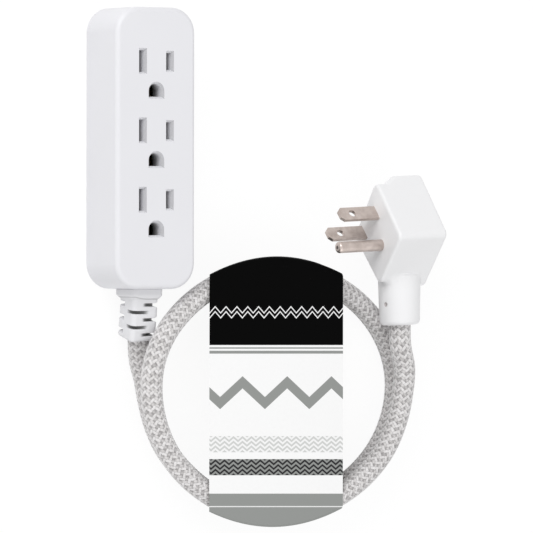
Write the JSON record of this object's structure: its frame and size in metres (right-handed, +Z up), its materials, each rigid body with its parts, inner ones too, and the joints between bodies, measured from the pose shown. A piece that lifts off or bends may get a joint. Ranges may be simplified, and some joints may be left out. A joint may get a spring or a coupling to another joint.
{
  "type": "extension cord",
  "caption": "Short grounded extension cord with a flat outlet strip, a braided cord coiled in a card sleeve, and a right-angle plug.",
  "frame": {"origin": "middle of the outlet strip's back face, on the surface it lies on", "axes": "+Z up through the outlet faces, +Y along the strip towards the end away from the cord, +X across the strip towards the coil"},
  "size_m": [0.1507, 0.2112, 0.0384],
  "materials": {
    "white_housing": "satin",
    "soft_white_pvc": "satin",
    "natural_nylon": "matte",
    "brass_sheet": "satin",
    "nickel_plate": "brushed",
    "zinc_steel": "satin",
    "heather_braid": "woven",
    "printed_card": "satin",
    "white_lead": "satin",
    "black_lead": "satin",
    "green_lead": "satin"
  },
  "bodies": {
    "root": {"front_cover": "white_housing", "back_cover": "white_housing", "housing_screw_1": "zinc_steel", "housing_screw_2": "zinc_steel", "housing_screw_3": "zinc_steel", "housing_screw_4": "zinc_steel", "contact_carrier": "natural_nylon", "neutral_bar": "brass_sheet", "hot_bar": "brass_sheet", "ground_bar": "brass_sheet", "neutral_contact_1": "brass_sheet", "neutral_contact_2": "brass_sheet", "neutral_contact_3": "brass_sheet", "hot_contact_1": "brass_sheet", "hot_contact_2": "brass_sheet", "hot_contact_3": "brass_sheet", "ground_contact_1": "brass_sheet", "ground_contact_2": "brass_sheet", "ground_contact_3": "brass_sheet", "neutral_lead": "white_lead", "hot_lead": "black_lead", "ground_lead": "green_lead", "cord_strain_relief": "soft_white_pvc", "braided_cord": "heather_braid", "plug_body": "white_housing", "plug_core": "natural_nylon", "plug_neutral_blade": "nickel_plate", "plug_hot_blade": "nickel_plate", "plug_ground_pin": "nickel_plate", "plug_neutral_lead": "white_lead", "plug_hot_lead": "black_lead", "plug_ground_lead": "green_lead", "card_sleeve": "printed_card"}
  },
  "joints": []
}
